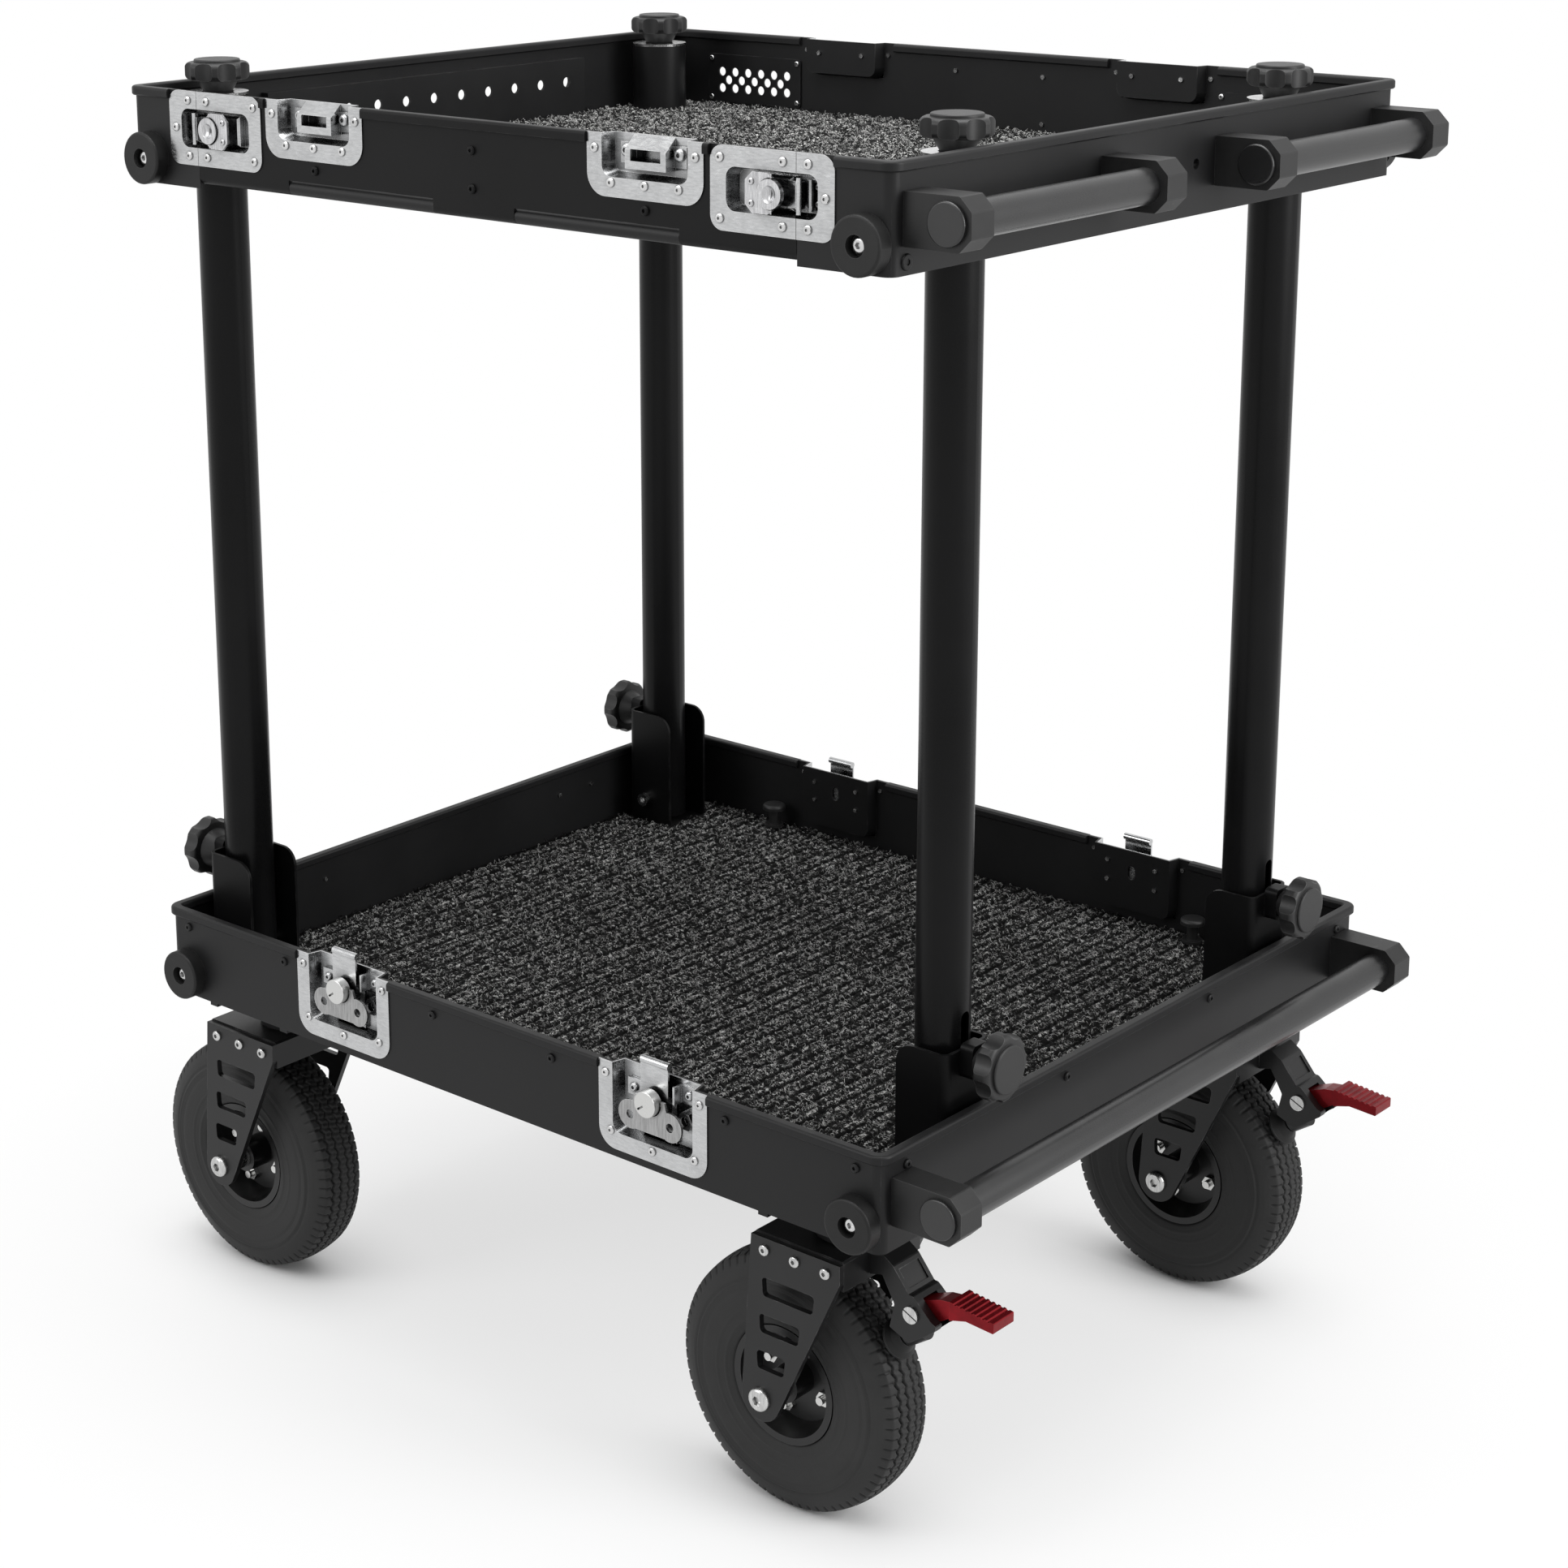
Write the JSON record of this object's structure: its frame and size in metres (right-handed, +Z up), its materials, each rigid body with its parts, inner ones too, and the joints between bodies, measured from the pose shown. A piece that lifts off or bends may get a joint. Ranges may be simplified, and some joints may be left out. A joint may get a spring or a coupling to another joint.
{
  "type": "camera cart",
  "caption": "Wheeled equipment cart with open upper and lower trays on tube legs, a drop side, recessed turn latches, push and lift handles, clamp knobs and braked swivel casters.",
  "frame": {"origin": "on the floor, under the middle of the cart's overall length and width", "axes": "+Z up, +X towards the push handle, +Y towards the right-hand side of a person who pushes the cart"},
  "size_m": [1.1269, 0.828, 1.2962],
  "materials": {
    "tray_black": "black powder coat, fine texture",
    "plate_black": "black powder coat",
    "carpet": "ribbed needle-punched carpet",
    "leg_black": "satin black tube",
    "bracket_black": "black powder coat",
    "socket_black": "black powder coat",
    "arm_black": "fine grained",
    "grip_black": "satin black",
    "bumper_rubber": "matte",
    "mount_black": "black anodised",
    "bright_steel": "bright plated",
    "dish_steel": "zinc plated, stamped",
    "knob_black": "moulded",
    "fork_black": "black anodised",
    "fork_screws": "machined",
    "rim_grey": "dark grey paint",
    "tyre_black": "ribbed tread",
    "pedal_red": "red anodised",
    "shoe_rubber": "matte",
    "wing_grey": "dark plated",
    "wing_silver": "zinc plated"
  },
  "bodies": {
    "cart_base": {"lower_tray": "tray_black", "lower_carpet": "carpet", "legs": "leg_black", "leg_brackets": "bracket_black", "push_handle_arms": "arm_black", "push_handle_bar": "grip_black", "lower_bumpers": "bumper_rubber", "caster_mounts": "mount_black", "lower_hardware": "bright_steel", "lower_latch_dishes": "dish_steel", "latch_cover_plates": "plate_black", "tie_down_posts": "knob_black"},
    "top_tray": {"upper_tray": "tray_black", "upper_carpet": "carpet", "leg_sockets": "socket_black", "lift_handle_arms": "arm_black", "lift_handle_bars": "grip_black", "upper_bumpers": "bumper_rubber", "upper_hardware": "bright_steel", "tray_dishes": "dish_steel", "right_wall_plates": "plate_black", "cable_rail": "tray_black"},
    "drop_panel": {"drop_side": "tray_black", "drop_side_dishes": "dish_steel", "drop_side_rivets": "bright_steel"},
    "front_left_top_knob_body": {"front_left_top_knob": "knob_black"},
    "front_left_clamp_knob_body": {"front_left_clamp_knob": "knob_black"},
    "front_right_top_knob_body": {"front_right_top_knob": "knob_black"},
    "front_right_clamp_knob_body": {"front_right_clamp_knob": "knob_black"},
    "rear_left_top_knob_body": {"rear_left_top_knob": "knob_black"},
    "rear_left_clamp_knob_body": {"rear_left_clamp_knob": "knob_black"},
    "rear_right_top_knob_body": {"rear_right_top_knob": "knob_black"},
    "rear_right_clamp_knob_body": {"rear_right_clamp_knob": "knob_black"},
    "front_left_fork_body": {"front_left_fork": "fork_black", "front_left_fork_hardware": "fork_screws"},
    "front_left_wheel": {"front_left_rim": "rim_grey", "front_left_tyre": "tyre_black"},
    "front_right_fork_body": {"front_right_fork": "fork_black", "front_right_fork_hardware": "fork_screws"},
    "front_right_wheel": {"front_right_rim": "rim_grey", "front_right_tyre": "tyre_black"},
    "rear_left_fork_body": {"rear_left_fork": "fork_black", "rear_left_fork_hardware": "fork_screws"},
    "rear_left_wheel": {"rear_left_rim": "rim_grey", "rear_left_tyre": "tyre_black"},
    "rear_left_pedal_body": {"rear_left_brake_pedal": "pedal_red"},
    "rear_left_shoe_body": {"rear_left_brake_shoe": "shoe_rubber"},
    "rear_right_fork_body": {"rear_right_fork": "fork_black", "rear_right_fork_hardware": "fork_screws"},
    "rear_right_wheel": {"rear_right_rim": "rim_grey", "rear_right_tyre": "tyre_black"},
    "rear_right_pedal_body": {"rear_right_brake_pedal": "pedal_red"},
    "rear_right_shoe_body": {"rear_right_brake_shoe": "shoe_rubber"},
    "lower_left_front_latch_wing": {"lower_left_front_latch": "wing_grey"},
    "lower_left_rear_latch_wing": {"lower_left_rear_latch": "wing_grey"},
    "lower_right_front_latch_wing": {"lower_right_front_latch": "wing_grey"},
    "lower_right_rear_latch_wing": {"lower_right_rear_latch": "wing_grey"},
    "drop_side_front_latch_wing": {"drop_side_front_latch": "wing_silver"},
    "drop_side_rear_latch_wing": {"drop_side_rear_latch": "wing_silver"}
  },
  "joints": [
    {"name": "top_tray_lift", "type": "slide", "parent": "cart_base", "child": "top_tray", "axis": [0, 0, 1], "range_m": [0, 0.12]},
    {"name": "drop_side_hinge", "type": "hinge", "parent": "top_tray", "child": "drop_panel", "pos_m": [0, -0.392, 1.1915], "axis": [1, 0, 0], "range_deg": [0, 180]},
    {"name": "front_left_top_knob_turn", "type": "hinge", "parent": "top_tray", "child": "front_left_top_knob_body", "pos_m": [-0.422, -0.327, 1.28], "axis": [0, 0, 1], "continuous": true},
    {"name": "front_left_clamp_knob_turn", "type": "hinge", "parent": "cart_base", "child": "front_left_clamp_knob_body", "pos_m": [-0.492, -0.327, 0.466], "axis": [1, 0, 0], "continuous": true},
    {"name": "front_right_top_knob_turn", "type": "hinge", "parent": "top_tray", "child": "front_right_top_knob_body", "pos_m": [-0.422, 0.327, 1.28], "axis": [0, 0, 1], "continuous": true},
    {"name": "front_right_clamp_knob_turn", "type": "hinge", "parent": "cart_base", "child": "front_right_clamp_knob_body", "pos_m": [-0.492, 0.327, 0.466], "axis": [1, 0, 0], "continuous": true},
    {"name": "rear_left_top_knob_turn", "type": "hinge", "parent": "top_tray", "child": "rear_left_top_knob_body", "pos_m": [0.423, -0.256, 1.28], "axis": [0, 0, 1], "continuous": true},
    {"name": "rear_left_clamp_knob_turn", "type": "hinge", "parent": "cart_base", "child": "rear_left_clamp_knob_body", "pos_m": [0.493, -0.256, 0.466], "axis": [1, 0, 0], "continuous": true},
    {"name": "rear_right_top_knob_turn", "type": "hinge", "parent": "top_tray", "child": "rear_right_top_knob_body", "pos_m": [0.423, 0.256, 1.28], "axis": [0, 0, 1], "continuous": true},
    {"name": "rear_right_clamp_knob_turn", "type": "hinge", "parent": "cart_base", "child": "rear_right_clamp_knob_body", "pos_m": [0.493, 0.256, 0.466], "axis": [1, 0, 0], "continuous": true},
    {"name": "front_left_swivel", "type": "hinge", "parent": "cart_base", "child": "front_left_fork_body", "pos_m": [-0.381, -0.308, 0.29], "axis": [0, 0, 1], "continuous": true},
    {"name": "front_left_wheel_spin", "type": "hinge", "parent": "front_left_fork_body", "child": "front_left_wheel", "pos_m": [-0.44, -0.308, 0.127], "axis": [0, 1, 0], "continuous": true},
    {"name": "front_right_swivel", "type": "hinge", "parent": "cart_base", "child": "front_right_fork_body", "pos_m": [-0.381, 0.308, 0.29], "axis": [0, 0, 1], "continuous": true},
    {"name": "front_right_wheel_spin", "type": "hinge", "parent": "front_right_fork_body", "child": "front_right_wheel", "pos_m": [-0.44, 0.308, 0.127], "axis": [0, 1, 0], "continuous": true},
    {"name": "rear_left_swivel", "type": "hinge", "parent": "cart_base", "child": "rear_left_fork_body", "pos_m": [0.367, -0.308, 0.29], "axis": [0, 0, 1], "continuous": true},
    {"name": "rear_left_wheel_spin", "type": "hinge", "parent": "rear_left_fork_body", "child": "rear_left_wheel", "pos_m": [0.308, -0.308, 0.127], "axis": [0, 1, 0], "continuous": true},
    {"name": "rear_left_brake_pedal_turn", "type": "hinge", "parent": "rear_left_fork_body", "child": "rear_left_pedal_body", "pos_m": [0.446, -0.308, 0.242], "axis": [0, 1, 0], "range_deg": [0, 18]},
    {"name": "rear_left_brake_shoe_slide", "type": "slide", "parent": "rear_left_fork_body", "child": "rear_left_shoe_body", "axis": [-0.829, 0, -0.5592], "range_m": [0, 0.00501]},
    {"name": "rear_right_swivel", "type": "hinge", "parent": "cart_base", "child": "rear_right_fork_body", "pos_m": [0.395, 0.308, 0.29], "axis": [0, 0, 1], "continuous": true},
    {"name": "rear_right_wheel_spin", "type": "hinge", "parent": "rear_right_fork_body", "child": "rear_right_wheel", "pos_m": [0.336, 0.308, 0.127], "axis": [0, 1, 0], "continuous": true},
    {"name": "rear_right_brake_pedal_turn", "type": "hinge", "parent": "rear_right_fork_body", "child": "rear_right_pedal_body", "pos_m": [0.474, 0.308, 0.242], "axis": [0, 1, 0], "range_deg": [0, 18]},
    {"name": "rear_right_brake_shoe_slide", "type": "slide", "parent": "rear_right_fork_body", "child": "rear_right_shoe_body", "axis": [-0.829, 0, -0.5592], "range_m": [0, 0.00501]},
    {"name": "lower_left_front_latch_turn", "type": "hinge", "parent": "cart_base", "child": "lower_left_front_latch_wing", "pos_m": [-0.205, -0.405, 0.4005], "axis": [0, -1, 0], "range_deg": [0, 180]},
    {"name": "lower_left_rear_latch_turn", "type": "hinge", "parent": "cart_base", "child": "lower_left_rear_latch_wing", "pos_m": [0.205, -0.405, 0.4005], "axis": [0, -1, 0], "range_deg": [0, 180]},
    {"name": "lower_right_front_latch_turn", "type": "hinge", "parent": "cart_base", "child": "lower_right_front_latch_wing", "pos_m": [-0.205, 0.405, 0.4005], "axis": [0, 1, 0], "range_deg": [0, 180]},
    {"name": "lower_right_rear_latch_turn", "type": "hinge", "parent": "cart_base", "child": "lower_right_rear_latch_wing", "pos_m": [0.205, 0.405, 0.4005], "axis": [0, 1, 0], "range_deg": [0, 180]},
    {"name": "drop_side_front_latch_turn", "type": "hinge", "parent": "drop_panel", "child": "drop_side_front_latch_wing", "pos_m": [-0.3463, -0.405, 1.238], "axis": [0, -1, 0], "range_deg": [0, 180]},
    {"name": "drop_side_rear_latch_turn", "type": "hinge", "parent": "drop_panel", "child": "drop_side_rear_latch_wing", "pos_m": [0.3463, -0.405, 1.238], "axis": [0, -1, 0], "range_deg": [-180, 0]}
  ],
  "couplings": [
    {"joint": "rear_left_brake_shoe_slide", "follows": "rear_left_brake_pedal_turn", "m_per_rad": 0.015915},
    {"joint": "rear_right_brake_shoe_slide", "follows": "rear_right_brake_pedal_turn", "m_per_rad": 0.015915}
  ]
}
